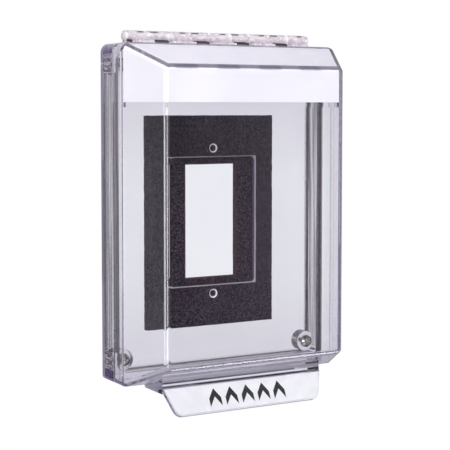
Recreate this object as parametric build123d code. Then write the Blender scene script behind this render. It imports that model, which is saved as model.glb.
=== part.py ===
from build123d import *

import os
from math import atan, cos, tan

# Wall-mounted lock box with a lift-up clear cover over a thermostat or switch.
# Frame: the origin lies on the wall, midway between the two wall-box screws.
# +X is right, +Z is up, and the front of the box faces -Y. Lengths are in mm.

# ---- Driving dimensions -------------------------------------------------------------
# Wall box interface
box_screw_spacing = 83.3        # single-gang box ears, 3.28 in apart
box_screw_hole_radius = 1.9
box_screw_countersink = 0.6

# Foam gasket between the back plate and the wall
gasket_width = 81.0
gasket_height = 120.3
gasket_thickness = 3.2
gasket_window_width = 32.9
gasket_window_height = 64.8
gasket_window_radius = 2.0

# Clear back plate, as wide and high as the frame that stands on it
plate_thickness = 3.0
plate_opening_width = 55.5
plate_opening_height = 73.0
plate_opening_radius = 2.5
plate_opening_chamfer = 0.4
plate_gap = 0.05                # film of air between the plate and the frame

# Outline shared by the base frame and the cover
outline_width = 136.1
outline_top = 99.3
outline_bottom = -84.9
top_corner_radius = 5.0
bottom_corner_radius = 2.4
smallest_radius = 0.6

# Base frame
frame_depth = 14.7              # from the back of the plate to the front of the frame
frame_side_wall = 5.1
frame_bottom_wall = 5.3
frame_pocket_radius = 4.4
foot_radius = 0.9               # the walls flare inwards to a narrow foot on the plate
foot_edge = 0.3

# Corner bosses and their screws
boss_radius = 5.9
boss_height = 6.4
boss_inset = 9.0                # screw axis from the frame's side
boss_rise = 11.5                # screw axis from the frame's top or bottom
boss_hole_radius = 1.7
screw_radius = 1.5
screw_head_height = 2.1
screw_head_radius = 3.7
screw_head_shoulder = (3.4, 1.2)        # radius and height where the rim turns into the dome
screw_head_flat = 2.1                   # radius of the flat middle
recess_width = 0.9
recess_span = 4.0
recess_depth = 1.2

# Cover: a straight skirt, then four sloped walls up to a flat front
seam_gap = 0.3                  # between the frame's front and the cover's rim
skirt_depth = 9.8
slope_depth = 28.2
side_inset = 12.7
top_inset = 12.8
bottom_inset = 11.4
slope_edge_round = 3.7          # along the four ridges and round the front
cover_wall = 2.3
ledge_top = 67.4                # the ledge that the liner stands on
ledge_height = 2.6
ledge_depth = 1.8

# White liner inside the top of the cover
liner_gap = 0.06
liner_thickness = 1.0

# Hinge along the top
hinge_y = -12.5
hinge_z = 103.4
barrel_radius = 3.0
barrel_length = 118.8
pin_radius = 1.2
pin_clearance = 0.05
knuckle_pitch = 25.6            # from one cover knuckle to the next
cover_knuckle_width = 13.5
outer_knuckle_width = 10.0
knuckle_gap = 0.3
barrel_tip_radius = 1.4         # flat end of the barrel; two cones join it to the full radius
barrel_tip_length = 1.7
blind_end = 1.6                 # barrel wall left beyond the pin's inner end
pad_front = -21.8
pad_thickness = 1.3
rib_width = 7.0
rib_front = -24.6

# Lift tab under the cover
bar_half_width = 50.3
bar_back = -19.4
bar_bottom = -88.4
tab_top_z = -85.3
tab_top_y = -41.2
tab_bottom_z = -99.6
tab_bottom_y = -48.4
tab_bottom_half_width = 45.0
tab_corner_radius = 5.0
tab_thickness = 2.3
label_thickness = 0.25
label_margin = 0.7

# ---- Derived positions --------------------------------------------------------------
plate_back = -gasket_thickness
plate_front = plate_back - plate_thickness
frame_back = plate_front - plate_gap
frame_front = plate_back - frame_depth
rim_y = frame_front - seam_gap
shoulder_y = rim_y - skirt_depth
front_y = shoulder_y - slope_depth

os.makedirs("parts", exist_ok=True)


def save(part, node):
    export_step(part, f"parts/{node}.step")


# ---- Shared forms -------------------------------------------------------------------
def rounded_outline(y, inset=0.0):
    """The box's rounded outline at depth y, drawn in by inset."""
    low = outline_bottom + inset
    high = outline_top - inset
    sheet = Pos(0, (low + high) / 2) * Rectangle(outline_width - 2 * inset, high - low)
    for group, radius in ((-1, top_corner_radius), (0, bottom_corner_radius)):
        corners = sheet.vertices().group_by(Axis.Y)[group]
        sheet = fillet(corners, max(radius - inset, smallest_radius))
    return Plane.XZ.offset(-y) * sheet


def slab(width, height, radius, back, depth, mid_z=0.0):
    """A rounded plate or pocket that runs forward from y = back by depth."""
    face = Plane.XZ.offset(-back) * Pos(0, mid_z) * RectangleRounded(width, height, radius)
    return extrude(face, depth)


def rod(x, z, radius, back, length):
    """A round bar that runs forward from y = back."""
    return extrude(Plane.XZ.offset(-back) * Pos(x, z) * Circle(radius), length)


def along_x(profile, start, end):
    """Extrude a profile drawn in the YZ plane from x = start to x = end."""
    return extrude(Plane.YZ.offset(start) * profile, end - start, dir=(1, 0, 0))


def slope_reach(y, start, taper, inset):
    """How far a sloped wall, drawn in by inset, lies from the middle at depth y."""
    slope = atan(taper / slope_depth)
    return start - inset / cos(slope) - (shoulder_y - y) * tan(slope)


def sloped_block(inset):
    """The four sloped walls carried back to the rim, with a flat front; every edge is rounded."""
    depths = (rim_y, front_y + inset)
    (side_back, side_front), (top_back, top_front), (low_back, low_front) = [
        [slope_reach(y, start, taper, inset) for y in depths]
        for start, taper in ((outline_width / 2, side_inset), (outline_top, top_inset),
                             (-outline_bottom, bottom_inset))]
    plan = Polygon((-side_back, rim_y), (side_back, rim_y), (side_front, depths[1]),
                   (-side_front, depths[1]), align=None)
    section = Polygon((rim_y, -low_back), (rim_y, top_back), (depths[1], top_front),
                      (depths[1], -low_front), align=None)
    block = extrude(plan, top_back, both=True) & along_x(section, -side_back, side_back)
    if slope_edge_round - inset > smallest_radius:
        rim = block.edges().group_by(Axis.Y)[-1]
        block = fillet(block.edges() - rim, slope_edge_round - inset)
    return block


def cover_form(inset):
    """The cover's solid form, all faces drawn in by inset; it stays open at the rim."""
    return extrude(rounded_outline(rim_y, inset), rim_y - front_y) & sloped_block(inset)


def box_between(x0, x1, y0, y1, z0, z1):
    return Pos((x0 + x1) / 2, (y0 + y1) / 2, (z0 + z1) / 2) * Box(x1 - x0, y1 - y0, z1 - z0)


# ---- Wall gasket and back plate -----------------------------------------------------
def box_screw_holes(radius):
    reach = gasket_thickness + plate_thickness + 2
    half = box_screw_spacing / 2
    return [rod(0, z, radius, 1, reach) for z in (-half, half)]


def wall_gasket():
    foam = extrude(Plane.XZ * Rectangle(gasket_width, gasket_height), gasket_thickness)
    window = slab(gasket_window_width, gasket_window_height, gasket_window_radius, 1, gasket_thickness + 2)
    return foam - window - box_screw_holes(box_screw_hole_radius)


def screw_centres():
    x = outline_width / 2 - boss_inset
    for z in (outline_bottom + boss_rise, outline_top - boss_rise):
        yield from ((-x, z), (x, z))


def edges_about(part, x, z, radius):
    """The round edges at the front of a part whose centres lie at x, z."""
    front = part.edges().filter_by(GeomType.CIRCLE).group_by(Axis.Y)[0]
    return [edge for edge in front
            if abs(edge.radius - radius) < 0.01 and abs(edge.arc_center.X - x) + abs(edge.arc_center.Z - z) < 0.01]


def back_plate():
    plate = extrude(rounded_outline(plate_back), plate_thickness)
    plate -= slab(plate_opening_width, plate_opening_height, plate_opening_radius, 0, 8)
    inner = plate.faces().sort_by(Axis.Y)[0].inner_wires()[0]
    plate = chamfer(inner.edges(), plate_opening_chamfer)
    plate -= box_screw_holes(box_screw_hole_radius)
    for z in (-box_screw_spacing / 2, box_screw_spacing / 2):
        plate = chamfer(edges_about(plate, 0, z, box_screw_hole_radius), box_screw_countersink)
    return plate - [rod(x, z, boss_hole_radius, 0, 8) for x, z in screw_centres()]


# ---- Base frame ---------------------------------------------------------------------
def barrel_circle():
    return Pos(hinge_y, hinge_z) * Circle(barrel_radius)


def barrel_tip(x, outward):
    """The end of the barrel, narrowing from x in two steps towards the side given by outward."""
    middle_radius = (barrel_radius + barrel_tip_radius) / 2 + barrel_tip_length / 4
    profile = Polygon((x, 0), (x, barrel_radius), (x + outward * 0.7 * barrel_tip_length, middle_radius),
                      (x + outward * barrel_tip_length, barrel_tip_radius),
                      (x + outward * barrel_tip_length, 0), align=None)
    return Pos(0, hinge_y, hinge_z) * revolve(profile, Axis.X)


def pin_bore(start, end):
    return along_x(Pos(hinge_y, hinge_z) * Circle(pin_radius + pin_clearance), start, end)


def cover_knuckle_spans():
    """The (start, end) of each cover knuckle along X, from left to right."""
    edge = 2 * knuckle_pitch - cover_knuckle_width / 2
    yield -edge - outer_knuckle_width, -edge
    for i in (-1, 0, 1):
        centre = i * knuckle_pitch
        yield centre - cover_knuckle_width / 2, centre + cover_knuckle_width / 2
    yield edge, edge + outer_knuckle_width


def frame_knuckle_spans():
    """The frame's knuckles fill what the cover's leave of the barrel between its tips."""
    start = barrel_tip_length - barrel_length / 2
    for low, high in cover_knuckle_spans():
        yield start, low - knuckle_gap
        start = high + knuckle_gap
    yield start, barrel_length / 2 - barrel_tip_length


def frame_knuckle(start, end):
    """A barrel length on a leg that stands on the frame's top wall."""
    root = outline_top - 0.5
    leg = Polygon((hinge_y - 2.4, hinge_z - 1.6), (hinge_y - 3.9, root), (hinge_y + 4.4, root),
                  (hinge_y + 2.4, hinge_z - 1.6), align=None)
    return along_x(barrel_circle(), start, end) + along_x(leg, start, end)


def frame_pocket():
    """The space inside the walls, narrower at the foot."""
    width = outline_width - 2 * frame_side_wall
    low = outline_bottom + frame_bottom_wall
    high = outline_top - frame_side_wall
    middle = (low + high) / 2
    main = slab(width, high - low, frame_pocket_radius, frame_back - foot_edge, frame_depth, middle)
    main = fillet(main.edges().group_by(Axis.Y)[-1], foot_radius)
    foot_opening = slab(width - 2 * foot_radius, high - low - 2 * foot_radius,
                        frame_pocket_radius - foot_radius, 0, frame_depth, middle)
    return main + foot_opening


def base_frame():
    body = extrude(rounded_outline(frame_back), frame_back - frame_front)
    body -= frame_pocket()
    for x, z in screw_centres():
        body += rod(x, z, boss_radius, frame_back, boss_height)
    for start, end in frame_knuckle_spans():
        body += frame_knuckle(start, end)
    tip = barrel_length / 2 - barrel_tip_length
    body += [barrel_tip(-tip, -1), barrel_tip(tip, 1)]
    for x, z in screw_centres():
        body -= rod(x, z, boss_hole_radius, 0, frame_depth + 5)
    return body - pin_bore(blind_end - barrel_length / 2, barrel_length / 2 + 1)


# ---- Corner screws and hinge pin ----------------------------------------------------
def frame_screw(x, z):
    """A pan-head screw with a cross recess, its tip flush with the back of the plate."""
    seat = frame_back - boss_height
    top = seat - screw_head_height
    shoulder_radius, shoulder_height = screw_head_shoulder
    profile = Polygon((0, plate_back), (screw_radius, plate_back), (screw_radius, seat),
                      (screw_head_radius, seat), (shoulder_radius, seat - shoulder_height),
                      (screw_head_flat, top), (0, top), align=None)
    screw = Pos(x, 0, z) * revolve(profile, Axis.Y)
    bottom = top + recess_depth
    for width, height in ((recess_span, recess_width), (recess_width, recess_span)):
        screw -= box_between(x - width / 2, x + width / 2, bottom - 5, bottom, z - height / 2, z + height / 2)
    return screw


def frame_screws():
    return Compound(children=[frame_screw(x, z) for x, z in screw_centres()])


def hinge_pin():
    profile = Pos(hinge_y, hinge_z) * Circle(pin_radius)
    pin = along_x(profile, blind_end + 0.1 - barrel_length / 2, barrel_length / 2 - 0.1)
    return chamfer(pin.edges().filter_by(GeomType.CIRCLE), 0.25)


# ---- Cover --------------------------------------------------------------------------
def cover_knuckle(start, end):
    """A barrel length on a pad, tied to the cover's top by a rib that slopes forward."""
    root = outline_top - 0.5
    pad_top = outline_top + pad_thickness
    pad = Polygon((rim_y, root), (pad_front, root), (pad_front, pad_top), (rim_y, pad_top), align=None)
    rib = Polygon((hinge_y - 0.4, hinge_z - 2.4), (rim_y, outline_top + 0.6), (rim_y, root), (rib_front, root),
                  (rib_front, pad_top), (hinge_y - 2.8, hinge_z + 0.4), align=None)
    middle = (start + end) / 2
    return (along_x(barrel_circle(), start, end) + along_x(pad, start, end)
            + along_x(rib, middle - rib_width / 2, middle + rib_width / 2))


def upper_band(low, high):
    """The space in front of the shoulder between two heights."""
    reach = outline_width / 2
    return box_between(-reach, reach, front_y - 1, shoulder_y, low, high)


def cover_dome():
    cavity = cover_form(cover_wall)
    ledge = (cavity - cover_form(cover_wall + ledge_depth)) & upper_band(ledge_top - ledge_height, ledge_top)
    dome = cover_form(0) - cavity + ledge
    for start, end in cover_knuckle_spans():
        dome += cover_knuckle(start, end)
    return dome - pin_bore(-barrel_length / 2, barrel_length / 2)


def hood_liner():
    outside = cover_wall + liner_gap
    skin = cover_form(outside) - cover_form(outside + liner_thickness)
    return skin & upper_band(ledge_top + 0.1, outline_top)


# ---- Lift tab -----------------------------------------------------------------------
def tab_plane(offset=0.0):
    """The leaning plane of the tab's front face: x to the right, y up the slope."""
    up = Vector(0, tab_top_y - tab_bottom_y, tab_top_z - tab_bottom_z)
    normal = Vector(1, 0, 0).cross(up)
    plane = Plane(origin=(0, tab_top_y, tab_top_z), x_dir=(1, 0, 0), z_dir=normal)
    return plane.offset(offset)


def tab_outline(margin=0.0):
    """The tab narrows towards its rounded lower corners; margin draws every edge in."""
    length = Vector(0, tab_top_y - tab_bottom_y, tab_top_z - tab_bottom_z).length
    low = tab_bottom_half_width - margin
    high = bar_half_width - margin
    sheet = Polygon((-high, -margin), (-low, margin - length), (low, margin - length), (high, -margin),
                    align=None)
    corners = sheet.vertices().sort_by(Axis.Y)[:2]
    return fillet(corners, tab_corner_radius - margin)


def slope_z(y):
    """Height of the cover's sloped underside at depth y."""
    return outline_bottom + (shoulder_y - y) / slope_depth * bottom_inset


def lift_tab():
    """A bar that fits under the rim and the slope, and a plate that drops forward from it."""
    gap = 0.05
    seat = outline_bottom - gap
    bar_front = tab_top_y + 0.6
    bar = Polygon((bar_back, bar_bottom), (bar_back, seat), (shoulder_y, seat),
                  (bar_front, slope_z(bar_front) - gap), (bar_front, bar_bottom), align=None)
    bar = along_x(bar, -bar_half_width, bar_half_width)
    bar = chamfer(bar.edges().filter_by(Axis.X).group_by(Axis.Z)[0].group_by(Axis.Y)[-1], 1.2)
    plate = extrude(tab_plane() * tab_outline(), -tab_thickness)
    return bar + plate


def lift_label():
    return extrude(tab_plane(0.02) * tab_outline(label_margin), label_thickness)


save(wall_gasket(), "wall_gasket")
save(back_plate(), "back_plate")
save(base_frame(), "base_frame")
save(frame_screws(), "frame_screws")
save(hinge_pin(), "hinge_pin")
save(cover_dome(), "cover_dome")
save(hood_liner(), "hood_liner")
save(lift_tab(), "lift_tab")
save(lift_label(), "lift_label")
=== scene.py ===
import bpy
from math import cos, radians, sin
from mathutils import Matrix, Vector


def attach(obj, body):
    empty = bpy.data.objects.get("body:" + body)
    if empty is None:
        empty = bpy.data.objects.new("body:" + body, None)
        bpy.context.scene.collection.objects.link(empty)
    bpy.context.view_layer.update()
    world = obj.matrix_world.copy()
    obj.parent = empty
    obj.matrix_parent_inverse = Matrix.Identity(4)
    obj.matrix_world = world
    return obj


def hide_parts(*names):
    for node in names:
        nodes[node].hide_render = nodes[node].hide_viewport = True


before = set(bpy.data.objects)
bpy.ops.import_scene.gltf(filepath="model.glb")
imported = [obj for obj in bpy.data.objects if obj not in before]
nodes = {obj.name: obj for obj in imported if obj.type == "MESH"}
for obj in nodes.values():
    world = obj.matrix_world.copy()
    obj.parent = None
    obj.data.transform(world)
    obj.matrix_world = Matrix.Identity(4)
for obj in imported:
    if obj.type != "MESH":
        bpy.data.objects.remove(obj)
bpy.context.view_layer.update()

scene = bpy.context.scene


# ---- Studio -------------------------------------------------------------------------
# A white room with a pale floor, one broad soft lamp to the upper left and a weaker one to
# the right. The camera stands to the left of the box and looks slightly down at it.
def put(tree, kind, inputs=(), **settings):
    """Add a shader node. Inputs maps a socket to a value or to another node's output."""
    node = tree.nodes.new(kind)
    for name, value in settings.items():
        setattr(node, name, value)
    for socket, value in dict(inputs).items():
        if isinstance(value, bpy.types.NodeSocket):
            tree.links.new(value, node.inputs[socket])
        else:
            node.inputs[socket].default_value = value
    return node


def mathed(tree, operation, *values):
    return put(tree, "ShaderNodeMath", dict(enumerate(values)), operation=operation).outputs[0]


def ranged(tree, value, low, high, to_low=0.0, to_high=1.0):
    """A value between low and high, stretched to the range to_low..to_high."""
    return put(tree, "ShaderNodeMapRange", {"Value": value, "From Min": low, "From Max": high,
                                            "To Min": to_low, "To Max": to_high}).outputs[0]


def mixed(tree, factor, first, second):
    """The colour first where factor is 0, and second where it is 1."""
    return put(tree, "ShaderNodeMix", {0: factor, 6: first, 7: second}, data_type="RGBA").outputs[2]


def seen_straight(tree):
    """1 for what the camera sees directly or through clear plastic, 0 for light and reflections."""
    path = put(tree, "ShaderNodeLightPath").outputs
    seen = mathed(tree, "MAXIMUM", path["Is Camera Ray"], path["Is Transmission Ray"])
    return mathed(tree, "MULTIPLY", seen, mathed(tree, "LESS_THAN", path["Glossy Depth"], 0.5))


def studio():
    """White behind the object, with a dark flag at each side, and soft panels to reflect.

    Three bright strips are seen only by light mirrored once, mostly in the rounded edges."""
    world = bpy.data.worlds.new("studio")
    world.use_nodes = True
    scene.world = world
    tree = world.node_tree
    tree.nodes.clear()
    facing = put(tree, "ShaderNodeTexCoord").outputs["Generated"]
    axes = put(tree, "ShaderNodeSeparateXYZ", {0: facing}).outputs
    sideways = mathed(tree, "ABSOLUTE", axes["X"])
    rise = mathed(tree, "ABSOLUTE", mathed(tree, "ADD", axes["Z"], 0.09))
    behind = mixed(tree, ranged(tree, rise, 0.04, 0.12), (0.94, 0.955, 1, 1), (0.78, 0.775, 0.84, 1))
    behind = mixed(tree, ranged(tree, sideways, 0.62, 0.85), behind, (0.3, 0.28, 0.32, 1))
    room = (0.03, 0.025, 0.035, 1)
    for direction, low, high, colour in (((0.17, 0.985, 0), 0.79, 0.885, (0.8, 0.8, 0.86, 1)),
                                         ((0.1, 0.5, 0.86), 0.7, 0.9, (0.5, 0.48, 0.56, 1)),
                                         ((0.1, 0.6, -0.8), 0.7, 0.9, (0.5, 0.48, 0.56, 1)),
                                         ((0.88, -0.47, 0.1), 0.8, 0.97, (0.42, 0.38, 0.43, 1)),
                                         ((-0.22, -0.97, 0.1), 0.9, 0.97, (1, 0.97, 1, 1)),
                                         ((-0.99, 0.1, 0.1), 0.85, 0.95, (0.3, 0.3, 0.32, 1)),
                                         ((-0.21, -0.56, -0.8), 0.9, 0.97, (1.2, 1.15, 1.1, 1)),
                                         ((-0.65, -0.75, -0.1), 0.95, 0.985, (1.2, 1.15, 1.1, 1))):
        dot = put(tree, "ShaderNodeVectorMath", {0: facing, 1: direction}, operation="DOT_PRODUCT")
        room = mixed(tree, ranged(tree, dot.outputs["Value"], low, high), room, colour)
    path = put(tree, "ShaderNodeLightPath").outputs
    once = mathed(tree, "LESS_THAN", path["Glossy Depth"], 1.5)
    outside = mathed(tree, "MULTIPLY", path["Is Reflection Ray"], once)
    for direction, low, high, colour, shown in (((-0.977, -0.19, -0.1), 0.975, 0.985, (4, 4, 4.2, 1), once),
                                                ((-0.467, -0.879, -0.1), 0.987, 0.993, (7, 7, 7.3, 1), once),
                                                ((0.53, -0.36, -0.77), 0.98, 0.99, (8, 8, 8.3, 1), outside)):
        dot = put(tree, "ShaderNodeVectorMath", {0: facing, 1: direction}, operation="DOT_PRODUCT")
        strip = mathed(tree, "MULTIPLY", ranged(tree, dot.outputs["Value"], low, high), shown)
        room = mixed(tree, strip, room, colour)
    colour = mixed(tree, seen_straight(tree), room, behind)
    colour = mixed(tree, path["Is Diffuse Ray"], colour, (0.47, 0.475, 0.5, 1))
    colour = mixed(tree, path["Is Camera Ray"], colour, (1, 1, 1, 1))
    light = put(tree, "ShaderNodeBackground", {"Color": colour})
    put(tree, "ShaderNodeOutputWorld", {"Surface": light.outputs[0]})


def soft_lamp(name, place, size, power):
    data = bpy.data.lights.new(name, "AREA")
    data.shape = "RECTANGLE"
    data.size, data.size_y = size
    data.energy = power
    lamp = bpy.data.objects.new(name, data)
    scene.collection.objects.link(lamp)
    lamp.location = place
    lamp.rotation_euler = (-Vector(place)).to_track_quat("-Z", "Y").to_euler()
    lamp.visible_camera = False
    lamp.visible_transmission = False


def floor_paint():
    mat = bpy.data.materials.new("floor_paint")
    mat.use_nodes = True
    tree = mat.node_tree
    shader = tree.nodes["Principled BSDF"]
    shader.inputs["Base Color"].default_value = (0.85, 0.85, 0.86, 1)
    shader.inputs["Roughness"].default_value = 0.7
    glow = put(tree, "ShaderNodeEmission", {"Color": (1, 1, 1, 1)})
    both = put(tree, "ShaderNodeMixShader", {0: seen_straight(tree), 1: shader.outputs[0],
                                             2: glow.outputs[0]})
    tree.links.new(both.outputs[0], tree.nodes["Material Output"].inputs["Surface"])
    return mat


studio()
soft_lamp("key_lamp", (-0.7, -0.9, 0.9), (0.7, 0.9), 11)
soft_lamp("fill_lamp", (0.9, -0.7, 0.3), (0.5, 0.9), 3)

camera_data = bpy.data.cameras.new("camera")
camera_data.lens = 104.1
camera_data.shift_y = -0.0667
camera = bpy.data.objects.new("camera", camera_data)
camera.location = (-0.3634, -0.6528, 0.0641)
camera.rotation_euler = (radians(90 - 3.802), 0, radians(-29.887))
scene.collection.objects.link(camera)
scene.camera = camera
scene.view_settings.view_transform = "Standard"
clear_bounces = 32
scene.cycles.max_bounces = clear_bounces
scene.cycles.transmission_bounces = clear_bounces
scene.cycles.glossy_bounces = 12
scene.cycles.transparent_max_bounces = clear_bounces

bpy.ops.object.select_all(action="DESELECT")
bpy.ops.mesh.primitive_plane_add(size=6, location=(0, 0, -0.45))
floor = bpy.context.object
floor.name = "floor"
floor.data.materials.append(floor_paint())
floor.visible_glossy = False
floor.visible_transmission = False


# ---- Foam gasket --------------------------------------------------------------------
# A sheet of black cellular foam rubber that seals the plate to the wall. It is die-cut, so
# its edges are a little ragged, and its two screw holes have drawn in.
gasket_size = (0.081, 0.1203)
gasket_front = -0.0031
gasket_cells = (101, 151)
window_cells = (41, 81)
window_size = (0.0329, 0.0648)
screw_hole_z = 0.04165
screw_hole_radius = 0.0009
ragged = 0.00022


def choose(mesh, wanted, kind="FACE"):
    """Select in edit mode only the faces or vertices whose place is wanted."""
    bpy.ops.mesh.select_mode(type=kind)
    bpy.ops.mesh.select_all(action="DESELECT")
    bpy.ops.object.mode_set(mode="OBJECT")
    if kind == "FACE":
        for face in mesh.polygons:
            face.select = wanted(face.center)
    else:
        for point in mesh.vertices:
            point.select = wanted(point.co)
    bpy.ops.object.mode_set(mode="EDIT")


def finish_piece(piece, name, body, mat, replaced=None):
    """Name a piece, place it in its mesh, give it its material and tie it to the frame."""
    piece.name = name
    piece.data.name = name
    bpy.ops.object.transform_apply(location=True, rotation=True, scale=True)
    piece.data.materials.clear()
    piece.data.materials.append(mat)
    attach(piece, body)
    if replaced:
        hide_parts(replaced)
    bpy.ops.object.select_all(action="DESELECT")


def cut_foam():
    """A grid of cells with a window and two round holes, then four layers back to the wall."""
    bpy.ops.mesh.primitive_grid_add(x_subdivisions=gasket_cells[0], y_subdivisions=gasket_cells[1],
                                    size=1, location=(0, gasket_front, 0), rotation=(radians(90), 0, 0))
    foam = bpy.context.object
    foam.scale = (*gasket_size, 1)
    bpy.ops.object.transform_apply(location=True, rotation=True, scale=True)
    mesh = foam.data
    cell_x, cell_z = (size / cells for size, cells in zip(gasket_size, gasket_cells))
    half_x, half_z = (cells / 2 for cells in window_cells)
    bpy.ops.object.mode_set(mode="EDIT")
    choose(mesh, lambda at: abs(at.x) < half_x * cell_x and abs(at.z) < half_z * cell_z)
    bpy.ops.mesh.delete(type="FACE")
    choose(mesh, lambda at: abs(at.x) < (half_x + 0.1) * cell_x and abs(at.z) < (half_z + 0.1) * cell_z,
           "VERT")
    bpy.ops.transform.resize(value=(window_size[0] / (window_cells[0] * cell_x), 1,
                                    window_size[1] / (window_cells[1] * cell_z)))
    for centre in (-screw_hole_z, screw_hole_z):
        choose(mesh, lambda at: abs(at.x) < 1.5 * cell_x and abs(at.z - centre) < 1.5 * cell_z)
        bpy.ops.mesh.delete(type="FACE")
        choose(mesh, lambda at: abs(at.x) < 1.7 * cell_x and abs(at.z - centre) < 2.2 * cell_z, "VERT")
        bpy.ops.transform.tosphere(value=1)
        bpy.ops.transform.resize(value=(screw_hole_radius / (1.66 * cell_x),) * 3)
    bpy.ops.mesh.select_all(action="SELECT")
    for layer in range(4):
        bpy.ops.mesh.extrude_region_move(TRANSFORM_OT_translate={"value": (0, -gasket_front / 4, 0)})
    outer_x, outer_z = (size / 2 for size in gasket_size)
    choose(mesh, lambda at: gasket_front + 0.0001 < at.y < -0.0001
           or abs(at.x) > outer_x - 0.0001 or abs(at.z) > outer_z - 0.0001, "VERT")
    bpy.ops.transform.vertex_random(offset=ragged, seed=3)
    for face_y in (gasket_front, 0):
        choose(mesh, lambda at: abs(at.y - face_y) < 1.5 * ragged, "VERT")
        bpy.ops.transform.resize(value=(1, 0, 1), center_override=(0, face_y, 0))
    bpy.ops.object.mode_set(mode="OBJECT")
    return foam


def foam_rubber():
    """Fine pores with a few bright cell walls, and a browner cut edge round the window."""
    mat = bpy.data.materials.new("foam_rubber")
    mat.use_nodes = True
    tree = mat.node_tree
    at = put(tree, "ShaderNodeTexCoord").outputs["Object"]
    grain = put(tree, "ShaderNodeTexNoise", {"Vector": at, "Scale": 900, "Detail": 2, "Roughness": 0.7})
    cells = put(tree, "ShaderNodeTexVoronoi", {"Vector": at, "Scale": 900})
    sparkle = mathed(tree, "MULTIPLY", ranged(tree, grain.outputs["Fac"], 0.38, 0.7),
                     ranged(tree, cells.outputs["Distance"], 0.1, 0.6, 0.4, 1))
    colour = mixed(tree, sparkle, (0.002, 0.001, 0.003, 1), (0.09, 0.063, 0.095, 1))
    axes = put(tree, "ShaderNodeSeparateXYZ", {0: at}).outputs
    edge_x = ranged(tree, mathed(tree, "ABSOLUTE", axes["X"]), window_size[0] / 2 + 0.0009,
                    window_size[0] / 2 + 0.0001)
    edge_z = ranged(tree, mathed(tree, "ABSOLUTE", axes["Z"]), window_size[1] / 2 + 0.0009,
                    window_size[1] / 2 + 0.0001)
    cut = mathed(tree, "MULTIPLY", edge_x, edge_z)
    colour = mixed(tree, mathed(tree, "MULTIPLY", cut, 0.7), colour, (0.09, 0.05, 0.035, 1))
    height = mathed(tree, "SUBTRACT", grain.outputs["Fac"], cells.outputs["Distance"])
    bump = put(tree, "ShaderNodeBump", {"Strength": 0.6, "Distance": 0.0003, "Height": height})
    shader = tree.nodes["Principled BSDF"]
    tree.links.new(colour, shader.inputs["Base Color"])
    tree.links.new(ranged(tree, grain.outputs["Fac"], 0.3, 0.7, 0.95, 0.7), shader.inputs["Roughness"])
    tree.links.new(bump.outputs[0], shader.inputs["Normal"])
    shader.inputs["Specular IOR Level"].default_value = 0.3
    return mat


gasket = cut_foam()
finish_piece(gasket, "foam_gasket", "base", foam_rubber(), "wall_gasket")


# ---- Back plate ---------------------------------------------------------------------
# A sheet of clear polycarbonate. Its opening and the two countersunk holes are routed,
# which leaves their edges frosted.
opening_half = (0.02775, 0.0365)
plate_front = -0.0062
routed_reach = 0.0005
countersink_radius = 0.0025
polycarbonate_ior = 1.585
trapped_after = 11


def effect_group(name, inputs, outputs):
    """An empty shader group with number sockets; returns it with its two end nodes."""
    group = bpy.data.node_groups.new(name, "ShaderNodeTree")
    for way, sockets in (("INPUT", inputs), ("OUTPUT", outputs)):
        for socket in sockets:
            group.interface.new_socket(socket, in_out=way, socket_type="NodeSocketFloat")
    return group, group.nodes.new("NodeGroupInput"), group.nodes.new("NodeGroupOutput")


def moulding_marks():
    """Slow flow ripples, mottling and hair scratches of moulded or extruded clear plastic."""
    group, given, result = effect_group("moulding_marks", ("Ripple Scale", "Scratches"),
                                        ("Height", "Mottle", "Haze"))
    at = put(group, "ShaderNodeTexCoord").outputs["Object"]
    ripple = put(group, "ShaderNodeTexNoise", {"Vector": at, "Scale": given.outputs["Ripple Scale"],
                                               "Detail": 1.5, "Distortion": 0.6}).outputs["Fac"]
    group.links.new(ripple, result.inputs["Height"])
    group.links.new(ranged(group, ripple, 0.35, 0.65), result.inputs["Mottle"])
    hairs = 0.0
    for turn, stretch in ((0.4, (60, 60, 2400)), (-0.7, (2400, 60, 60))):
        turned = put(group, "ShaderNodeMapping", {"Vector": at, "Rotation": (turn, turn, turn),
                                                  "Scale": stretch})
        noise = put(group, "ShaderNodeTexNoise", {"Vector": turned.outputs[0], "Scale": 1, "Detail": 0})
        hairs = mathed(group, "MAXIMUM", ranged(group, noise.outputs["Fac"], 0.74, 0.8), hairs)
    group.links.new(mathed(group, "MULTIPLY", hairs, given.outputs["Scratches"]), result.inputs["Haze"])
    return group


marks = moulding_marks()


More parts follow.
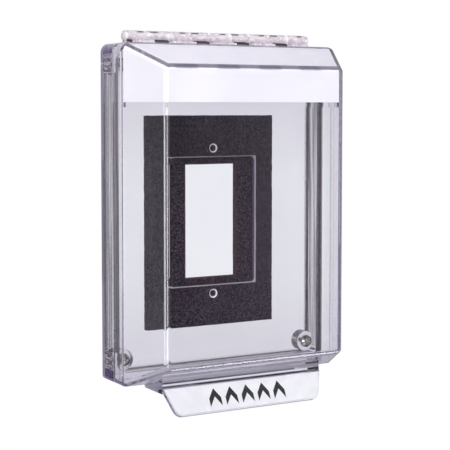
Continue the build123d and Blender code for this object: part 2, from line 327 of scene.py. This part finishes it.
def clear_plastic(name, tint, density, ripple=40, frost=None, film=None, dark=None):
    """Clear plastic with a faint tint in its depth.

    Frost gives how rough each zone is, film how much of what colour lies on it, and dark a mask
    of the zones whose tint is painted dark, as painted shade. Light still inside after trapped_after
    bounces ends in a soft grey glow, which is painted light."""
    mat = bpy.data.materials.new(name)
    mat.use_nodes = True
    tree = mat.node_tree
    shader = tree.nodes["Principled BSDF"]
    shader.inputs["Transmission Weight"].default_value = 1
    shader.inputs["IOR"].default_value = polycarbonate_ior
    effect = put(tree, "ShaderNodeGroup", node_tree=marks)
    effect.inputs["Ripple Scale"].default_value = ripple
    effect.inputs["Scratches"].default_value = 0.2
    at = put(tree, "ShaderNodeTexCoord").outputs["Object"]
    axes = put(tree, "ShaderNodeSeparateXYZ", {0: at}).outputs
    base = mixed(tree, effect.outputs["Mottle"], (0.985, 0.985, 0.99, 1), (1, 1, 1, 1))
    # Painted shade: where a dark mask is given, the tint there is painted nearly black.
    if dark:
        base = mixed(tree, dark(tree, axes), base, (0.1, 0.08, 0.1, 1))
    tree.links.new(base, shader.inputs["Base Color"])
    roughness = mathed(tree, "MULTIPLY", effect.outputs["Haze"], 0.3)
    if frost:
        roughness = mathed(tree, "MAXIMUM", roughness, frost(tree, axes))
    tree.links.new(roughness, shader.inputs["Roughness"])
    bump = put(tree, "ShaderNodeBump", {"Strength": 0.2, "Distance": 0.0004,
                                        "Height": effect.outputs["Height"]})
    tree.links.new(bump.outputs[0], shader.inputs["Normal"])
    out = tree.nodes["Material Output"]
    path = put(tree, "ShaderNodeLightPath").outputs
    shade = put(tree, "ShaderNodeBsdfTransparent", {"Color": (0.95, 0.95, 0.96, 1)})
    surface = shader.outputs[0]
    if film:
        share, colour = film(tree, axes)
        coat = put(tree, "ShaderNodeBsdfPrincipled", {"Base Color": colour, "Roughness": 0.5,
                                                      "Normal": bump.outputs[0]})
        surface = put(tree, "ShaderNodeMixShader", {0: share, 1: surface, 2: coat.outputs[0]}).outputs[0]
    # Painted light: a soft grey glow stands in for light trapped too long inside the wall.
    trapped_glow = put(tree, "ShaderNodeEmission", {"Color": (0.42, 0.42, 0.44, 1)})
    inside_long = mathed(tree, "GREATER_THAN", path["Ray Depth"], trapped_after)
    surface = put(tree, "ShaderNodeMixShader", {0: inside_long, 1: surface,
                                                2: trapped_glow.outputs[0]}).outputs[0]
    both = put(tree, "ShaderNodeMixShader", {0: path["Is Shadow Ray"], 1: surface, 2: shade.outputs[0]})
    tree.links.new(both.outputs[0], out.inputs["Surface"])
    body = put(tree, "ShaderNodeVolumeAbsorption", {"Color": (*tint, 1), "Density": density})
    tree.links.new(body.outputs[0], out.inputs["Volume"])
    return mat


def between(tree, value, low, high):
    return mathed(tree, "MULTIPLY", mathed(tree, "GREATER_THAN", value, low),
                  mathed(tree, "LESS_THAN", value, high))


def opening_wall(tree, axes):
    """1 on the wall of the opening and its chamfer, 0 elsewhere."""
    across = mathed(tree, "LESS_THAN", mathed(tree, "ABSOLUTE", axes["X"]), opening_half[0] + routed_reach)
    height = mathed(tree, "LESS_THAN", mathed(tree, "ABSOLUTE", axes["Z"]), opening_half[1] + routed_reach)
    return mathed(tree, "MULTIPLY", across, height)


def hole_wall(tree, axes):
    """1 on the walls of the two screw holes and in their countersinks, 0 elsewhere."""
    rise = mathed(tree, "SUBTRACT", mathed(tree, "ABSOLUTE", axes["Z"]), screw_hole_z)
    reach = mathed(tree, "SQRT", mathed(tree, "ADD", mathed(tree, "MULTIPLY", rise, rise),
                                        mathed(tree, "MULTIPLY", axes["X"], axes["X"])))
    return mathed(tree, "LESS_THAN", reach, countersink_radius + 0.0001)


def at_front(tree, axes):
    return mathed(tree, "LESS_THAN", axes["Y"], plate_front + routed_reach + 0.0001)


def sawn_walls_painted_dark(tree, axes):
    """The straight walls behind the chamfers, whose tint is painted dark as painted shade."""
    walls = mathed(tree, "MAXIMUM", opening_wall(tree, axes), hole_wall(tree, axes))
    return mathed(tree, "MULTIPLY", walls, mathed(tree, "SUBTRACT", 1.0, at_front(tree, axes)))


def routed_frost(tree, axes):
    walls = mathed(tree, "MAXIMUM", opening_wall(tree, axes), hole_wall(tree, axes))
    return mathed(tree, "MULTIPLY", mathed(tree, "MULTIPLY", walls, at_front(tree, axes)), 0.4)


def routed_film(tree, axes):
    """White dust of the router, thin on the chamfer and thicker in the countersinks."""
    share = mathed(tree, "MAXIMUM", mathed(tree, "MULTIPLY", opening_wall(tree, axes), 0.3),
                   mathed(tree, "MULTIPLY", hole_wall(tree, axes), 0.95))
    return mathed(tree, "MULTIPLY", share, at_front(tree, axes)), (0.9, 0.86, 0.9, 1)


def dress(node, mat):
    """Give a CAD piece its finished material."""
    materials = nodes[node].data.materials
    materials.clear()
    materials.append(mat)


dress("back_plate", clear_plastic("clear_sheet", (0.6, 0.5, 0.75), 22, 25, routed_frost, routed_film,
                                  sawn_walls_painted_dark))


# ---- Base frame ---------------------------------------------------------------------
# A clear moulding with four bosses and the frame's half of the hinge along its top. The
# hinge barrels come out of the tool matt, and the walls glossy.
hinge_start_z = 0.0994
barrel_axis = (-0.0125, 0.1034)
knuckle_pitch = 0.0256
knuckle_half = 0.00675
inner_side = 0.0629
inner_bottom = -0.0796
barrel_radius = 0.003
barrel_shade_line = (0.0018, 0.0026)          # the painted shade line's lower and upper edge above the hinge axis
shade_line_dashes = ((0.0003, 0.0036), (0.0075, 0.0122))      # along each pitch
painted_glint_half = 0.0007
leg_top_z = 0.1014
leg_front_y = -0.0145
hair = 0.0001


def hinge_milk_glint_shade(tree, axes):
    """Milky white, with painted glints where knuckles meet, and a broken dark line of painted shade along
    the barrel's top.
    """
    step = mathed(tree, "WRAP", axes["X"], knuckle_pitch / 2, -knuckle_pitch / 2)
    # Painted glints: whiter bands where the knuckles meet.
    painted_glint = mathed(tree, "LESS_THAN", mathed(tree, "ABSOLUTE", mathed(
        tree, "SUBTRACT", mathed(tree, "ABSOLUTE", step), knuckle_half)), painted_glint_half)
    # Painted shade: a broken dark line along the barrel's top.
    line = between(tree, axes["Z"], *(barrel_axis[1] + edge for edge in barrel_shade_line))
    dashes = mathed(tree, "MAXIMUM", *(between(tree, step, *dash) for dash in shade_line_dashes))
    line = mathed(tree, "MULTIPLY", line, dashes)
    at = put(tree, "ShaderNodeTexCoord").outputs["Object"]
    grain = put(tree, "ShaderNodeTexNoise", {"Vector": at, "Scale": 420, "Detail": 2}).outputs["Fac"]
    colour = mixed(tree, ranged(tree, grain, 0.4, 0.6), (0.7, 0.63, 0.67, 1), (1, 0.95, 0.98, 1))
    painted_glint = mathed(tree, "MULTIPLY", painted_glint, ranged(tree, grain, 0.42, 0.55))
    colour = mixed(tree, painted_glint, colour, (1, 0.97, 0.99, 1))
    colour = mixed(tree, line, colour, (0.1, 0.08, 0.1, 1))
    marked = mathed(tree, "MAXIMUM", painted_glint, line)
    return mathed(tree, "MULTIPLY_ADD", marked, 0.3, 0.55), colour


def barrels(tree, axes):
    """1 within the barrels' radius of the hinge axis, 0 elsewhere."""
    depth = mathed(tree, "SUBTRACT", axes["Y"], barrel_axis[0])
    rise = mathed(tree, "SUBTRACT", axes["Z"], barrel_axis[1])
    reach = mathed(tree, "SQRT", mathed(tree, "ADD", mathed(tree, "MULTIPLY", depth, depth),
                                        mathed(tree, "MULTIPLY", rise, rise)))
    return mathed(tree, "LESS_THAN", reach, barrel_radius + hair)


def frame_frost(tree, axes):
    """Satin walls and matt barrels."""
    return mathed(tree, "MULTIPLY_ADD", barrels(tree, axes), 0.15, 0.08)


def frame_film_painted_shade(tree, axes):
    """The barrels' film, and painted shade: a dark streaked film on the legs' fronts and the walls'
    inner faces.

    Plain clear walls let more light through there than they should."""
    share, colour = hinge_milk_glint_shade(tree, axes)
    on_barrel = barrels(tree, axes)
    legs = mathed(tree, "MULTIPLY", between(tree, axes["Z"], hinge_start_z, leg_top_z),
                  mathed(tree, "LESS_THAN", axes["Y"], leg_front_y))
    sides = between(tree, mathed(tree, "ABSOLUTE", axes["X"]), inner_side - hair, inner_side + hair)
    bottom = between(tree, axes["Z"], inner_bottom - hair, inner_bottom + hair)
    at = put(tree, "ShaderNodeTexCoord").outputs["Object"]
    # Painted shade: dark streaked film on the inner walls, stretched along Y.
    drawn = put(tree, "ShaderNodeMapping", {"Vector": at, "Scale": (12, 700, 12)}).outputs[0]
    painted_shade_streaks = put(tree, "ShaderNodeTexNoise", {"Vector": drawn, "Scale": 1, "Detail": 2}).outputs["Fac"]
    painted_shade_streaks = mathed(tree, "MULTIPLY", ranged(tree, painted_shade_streaks, 0.35, 0.65, 0.1, 0.8),
                     mathed(tree, "MAXIMUM", sides, bottom))
    # Painted shade on the legs' fronts as well.
    dark = mathed(tree, "MAXIMUM", mathed(tree, "MULTIPLY", legs, 0.85), painted_shade_streaks)
    share = mathed(tree, "MAXIMUM", mathed(tree, "MULTIPLY", on_barrel, share), dark)
    return share, mixed(tree, on_barrel, (0.03, 0.017, 0.022, 1), colour)


dress("base_frame", clear_plastic("clear_moulding", (0.6, 0.5, 0.75), 22, 55, frame_frost, frame_film_painted_shade))


# ---- Corner screws ------------------------------------------------------------------
# Four pan-head screws of bright plated steel that hold the frame to the plate.
def worn_metal(name, colour, roughness):
    """Plated steel with fine turning marks and a duller film in patches."""
    mat = bpy.data.materials.new(name)
    mat.use_nodes = True
    tree = mat.node_tree
    shader = tree.nodes["Principled BSDF"]
    shader.inputs["Metallic"].default_value = 1
    effect = put(tree, "ShaderNodeGroup", node_tree=marks)
    effect.inputs["Ripple Scale"].default_value = 600
    effect.inputs["Scratches"].default_value = 1
    dull = tuple(0.75 * part for part in colour)
    tree.links.new(mixed(tree, effect.outputs["Mottle"], (*dull, 1), (*colour, 1)),
                   shader.inputs["Base Color"])
    worn = mathed(tree, "MULTIPLY_ADD", effect.outputs["Haze"], 0.2, roughness)
    tree.links.new(worn, shader.inputs["Roughness"])
    bump = put(tree, "ShaderNodeBump", {"Strength": 0.15, "Distance": 0.0001,
                                        "Height": effect.outputs["Haze"]})
    tree.links.new(bump.outputs[0], shader.inputs["Normal"])
    return mat


dress("frame_screws", worn_metal("bright_plated_steel", (0.96, 0.92, 0.88), 0.12))


# ---- Hinge pin ----------------------------------------------------------------------
# A plain drawn steel pin, pushed in from the right through all the knuckles.
dress("hinge_pin", worn_metal("satin_nickel", (0.9, 0.87, 0.87), 0.45))


# ---- Cover --------------------------------------------------------------------------
# A clear moulded cover with sloped walls. Its knuckles, pads and ribs are matt as well.
# Painted reflection: the pads' images laid as faint dashes in the rounded top edge.
image_shift = 0.008
image_share = 0.35
image_blur = 0.0006
top_edge_z = (0.0849, 0.0874)
top_edge_y = -0.054


def above_top(tree, axes):
    """1 on the knuckles, pads and ribs that stand on the cover's top, 0 below them."""
    return ranged(tree, axes["Z"], hinge_start_z - hair, hinge_start_z + hair)


def cover_frost(tree, axes):
    return mathed(tree, "MULTIPLY", above_top(tree, axes), 0.2)


def cover_film_painted_image(tree, axes):
    """The hinge's film on the knuckles, and faint dashes painted in the rounded top edge.

    The dashes are a painted reflection of the pads' images, which the traced light doesn't give."""
    share, colour = hinge_milk_glint_shade(tree, axes)
    above = above_top(tree, axes)
    step = mathed(tree, "WRAP", mathed(tree, "SUBTRACT", axes["X"], image_shift), knuckle_pitch / 2,
                  -knuckle_pitch / 2)
    image = ranged(tree, mathed(tree, "ABSOLUTE", step), knuckle_half + image_blur,
                   knuckle_half - image_blur)
    edge = mathed(tree, "MULTIPLY", between(tree, axes["Z"], *top_edge_z),
                  mathed(tree, "LESS_THAN", axes["Y"], top_edge_y))
    edge = mathed(tree, "MULTIPLY", mathed(tree, "MULTIPLY", edge, image), image_share)
    share = mathed(tree, "MAXIMUM", mathed(tree, "MULTIPLY", above, share), edge)
    return share, mixed(tree, above, (0.03, 0.025, 0.07, 1), colour)


dress("cover_dome", clear_plastic("clear_cover", (0.6, 0.5, 0.75), 22, 30, cover_frost, cover_film_painted_image))


# ---- Hood liner ---------------------------------------------------------------------
# A thin white sheet formed to fit inside the top of the cover, standing on its ledge.
def liner_plastic():
    mat = bpy.data.materials.new("white_liner")
    mat.use_nodes = True
    tree = mat.node_tree
    shader = tree.nodes["Principled BSDF"]
    effect = put(tree, "ShaderNodeGroup", node_tree=marks)
    effect.inputs["Ripple Scale"].default_value = 35
    effect.inputs["Scratches"].default_value = 0.4
    tree.links.new(mixed(tree, effect.outputs["Mottle"], (0.945, 0.95, 0.965, 1), (0.98, 0.98, 0.99, 1)),
                   shader.inputs["Base Color"])
    tree.links.new(mathed(tree, "MULTIPLY_ADD", effect.outputs["Haze"], 0.3, 0.5),
                   shader.inputs["Roughness"])
    shader.inputs["Specular IOR Level"].default_value = 0.2
    bump = put(tree, "ShaderNodeBump", {"Strength": 0.2, "Distance": 0.0003,
                                        "Height": effect.outputs["Height"]})
    tree.links.new(bump.outputs[0], shader.inputs["Normal"])
    return mat


dress("hood_liner", liner_plastic())


# ---- Lift tab -----------------------------------------------------------------------
# A clear bar bonded under the cover, with a sloping finger plate.
dress("lift_tab", clear_plastic("clear_tab", (0.6, 0.58, 0.8), 10, 45))


# ---- Lift label ---------------------------------------------------------------------
# A satin film on the finger plate, printed with a row of plain upward chevrons.
def label_film():
    mat = bpy.data.materials.new("label_film")
    mat.use_nodes = True
    tree = mat.node_tree
    shader = tree.nodes["Principled BSDF"]
    effect = put(tree, "ShaderNodeGroup", node_tree=marks)
    effect.inputs["Ripple Scale"].default_value = 120
    effect.inputs["Scratches"].default_value = 0.6
    tree.links.new(mixed(tree, effect.outputs["Mottle"], (0.8, 0.8, 0.84, 1), (0.87, 0.87, 0.9, 1)),
                   shader.inputs["Base Color"])
    tree.links.new(mathed(tree, "MULTIPLY_ADD", effect.outputs["Haze"], 0.3, 0.4),
                   shader.inputs["Roughness"])
    return mat


dress("lift_label", label_film())

chevron_size = (0.0074, 0.0046)
chevron_rise = 0.0055
chevron_count = 5
chevron_pitch = 0.0102
ink_thickness = 0.00004
tab_lean = radians(63.27)
label_middle = Vector((0, -0.04505, -0.09232))


def printed_chevrons():
    """One strip raised at its middle into a chevron, then copied along the label."""
    upward = Vector((0, cos(tab_lean), sin(tab_lean)))
    outward = Vector((0, -sin(tab_lean), cos(tab_lean)))
    low_edge = label_middle - 0.5 * chevron_rise * upward
    bpy.ops.mesh.primitive_plane_add(size=1, location=low_edge, rotation=(tab_lean, 0, 0))
    mark = bpy.context.object
    mark.scale = (*chevron_size, 1)
    bpy.ops.object.transform_apply(location=True, rotation=True, scale=True)
    bpy.ops.object.mode_set(mode="EDIT")
    bpy.ops.mesh.subdivide(number_cuts=1)
    choose(mark.data, lambda at: abs(at.x) < 0.0001, "VERT")
    bpy.ops.transform.translate(value=chevron_rise * upward)
    bpy.ops.mesh.select_all(action="SELECT")
    bpy.ops.mesh.extrude_region_move(TRANSFORM_OT_translate={"value": ink_thickness * outward})
    bpy.ops.object.mode_set(mode="OBJECT")
    bpy.ops.transform.translate(value=(-chevron_pitch * (chevron_count - 1) / 2, 0, 0))
    marks_made = [mark]
    for step in range(chevron_count - 1):
        bpy.ops.object.duplicate()
        bpy.ops.transform.translate(value=(chevron_pitch, 0, 0))
        marks_made.append(bpy.context.object)
    for made in marks_made:
        made.select_set(True)
    bpy.context.view_layer.objects.active = mark
    bpy.ops.object.join()
    return bpy.context.object


def printing_ink():
    """Dense black screen ink, a little thin in places."""
    mat = bpy.data.materials.new("printing_ink")
    mat.use_nodes = True
    tree = mat.node_tree
    shader = tree.nodes["Principled BSDF"]
    at = put(tree, "ShaderNodeTexCoord").outputs["Object"]
    grain = put(tree, "ShaderNodeTexNoise", {"Vector": at, "Scale": 900, "Detail": 2})
    thin = ranged(tree, grain.outputs["Fac"], 0.55, 0.75)
    tree.links.new(mixed(tree, thin, (0.012, 0.011, 0.012, 1), (0.05, 0.048, 0.052, 1)),
                   shader.inputs["Base Color"])
    tree.links.new(ranged(tree, thin, 0, 1, 0.45, 0.65), shader.inputs["Roughness"])
    return mat


finish_piece(printed_chevrons(), "lift_chevrons", "cover", printing_ink())
